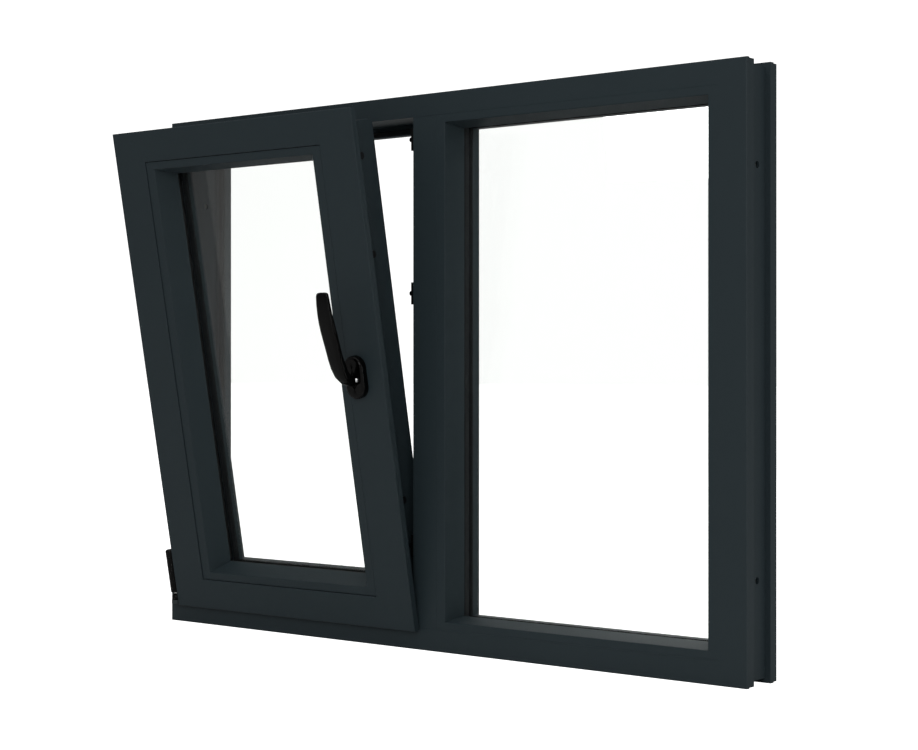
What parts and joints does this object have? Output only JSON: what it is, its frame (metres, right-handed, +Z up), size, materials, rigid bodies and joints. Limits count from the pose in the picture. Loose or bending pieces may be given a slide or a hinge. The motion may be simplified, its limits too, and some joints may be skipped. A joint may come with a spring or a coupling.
{
  "type": "casement window",
  "caption": "Two-light window in anthracite grey: fixed light beside a tilt-and-turn sash tilted inwards, with black lever handle.",
  "frame": {"origin": "middle of the frame's underside, half way through its depth", "axes": "+X to the right seen from the room, +Y outdoors, +Z up"},
  "size_m": [1.2, 0.2729, 0.9],
  "materials": {
    "anthracite_profile": "anthracite grey co-extruded PVC-U, matt with a fine grain",
    "anthracite_cap": "moulded anthracite plastic",
    "clear_glass": "clear float glass",
    "black_rubber": "extruded EPDM",
    "spacer_aluminium": "mill-finish spacer bar",
    "zinc_steel": "galvanised reinforcement",
    "hardware_steel": "zinc plated",
    "black_hardware": "black powder coat",
    "gloss_black_handle": "gloss black lacquer on die-cast metal",
    "black_cover": "black moulded cover",
    "packer_plastic": "moulded packers",
    "connector_zinc": "die-cast connector"
  },
  "bodies": {
    "frame": {"corner_bearing": "black_hardware", "drain_caps": "anthracite_cap", "fixed_bead_bottom": "anthracite_profile", "fixed_bead_left": "anthracite_profile", "fixed_bead_right": "anthracite_profile", "fixed_bead_top": "anthracite_profile", "fixed_glazing_blocks": "packer_plastic", "fixed_inner_gasket": "black_rubber", "fixed_inner_pane": "clear_glass", "fixed_outer_gasket": "black_rubber", "fixed_outer_pane": "clear_glass", "fixed_spacer": "spacer_aluminium", "frame_head": "anthracite_profile", "frame_left_jamb": "anthracite_profile", "frame_right_jamb": "anthracite_profile", "frame_sill": "anthracite_profile", "head_steel": "zinc_steel", "keep_screws": "hardware_steel", "keeps": "black_hardware", "left_jamb_steel": "zinc_steel", "mullion": "anthracite_profile", "mullion_connectors": "connector_zinc", "mullion_steel": "zinc_steel", "right_jamb_steel": "zinc_steel", "sill_steel": "zinc_steel", "stay_bearing": "black_hardware", "stay_pin": "hardware_steel", "stop_gasket": "black_rubber"},
    "leaf": {"corner_hinge": "black_hardware", "faceplate": "hardware_steel", "flange_gasket": "black_rubber", "gearbox": "hardware_steel", "handle_rosette": "gloss_black_handle", "hinge_cover": "black_cover", "leaf_bead_bottom": "anthracite_profile", "leaf_bead_left": "anthracite_profile", "leaf_bead_right": "anthracite_profile", "leaf_bead_top": "anthracite_profile", "leaf_bottom_rail": "anthracite_profile", "leaf_bottom_steel": "zinc_steel", "leaf_glazing_blocks": "packer_plastic", "leaf_inner_gasket": "black_rubber", "leaf_inner_pane": "clear_glass", "leaf_left_steel": "zinc_steel", "leaf_left_stile": "anthracite_profile", "leaf_outer_gasket": "black_rubber", "leaf_outer_pane": "clear_glass", "leaf_right_steel": "zinc_steel", "leaf_right_stile": "anthracite_profile", "leaf_spacer": "spacer_aluminium", "leaf_top_rail": "anthracite_profile", "leaf_top_steel": "zinc_steel", "stay_rail": "hardware_steel"},
    "drive": {"drive_rod": "hardware_steel", "locking_cams": "hardware_steel"},
    "handle": {"handle_lever": "gloss_black_handle", "handle_spindle": "hardware_steel"},
    "hinge_carrier": {"pivot_ball": "black_hardware"},
    "stay_arm": {"stay_arm": "hardware_steel"}
  },
  "joints": [
    {"name": "turn", "type": "hinge", "parent": "frame", "child": "hinge_carrier", "pos_m": [-0.576, -0.0533, 0.0445], "axis": [0, 0, -1], "range_deg": [0, 90]},
    {"name": "tilt", "type": "hinge", "parent": "hinge_carrier", "child": "leaf", "pos_m": [-0.576, -0.0533, 0.0445], "axis": [-1, 0, 0], "range_deg": [0, 10.56]},
    {"name": "stay_swing", "type": "hinge", "parent": "hinge_carrier", "child": "stay_arm", "pos_m": [-0.576, -0.0533, 0.86], "axis": [0, 0, 1], "range_deg": [0, 26.45]},
    {"name": "handle_turn", "type": "hinge", "parent": "leaf", "child": "handle", "pos_m": [-0.062, -0.13278, 0.4381], "axis": [0, -0.9831, -0.1833], "range_deg": [0, 180]},
    {"name": "drive_slide", "type": "slide", "parent": "leaf", "child": "drive", "axis": [0, 0.1833, -0.9831], "range_m": [0, 0.0361]}
  ],
  "couplings": [
    {"joint": "stay_swing", "follows": "tilt", "ratio": 2.5},
    {"joint": "drive_slide", "follows": "handle_turn", "m_per_rad": 0.011459}
  ]
}
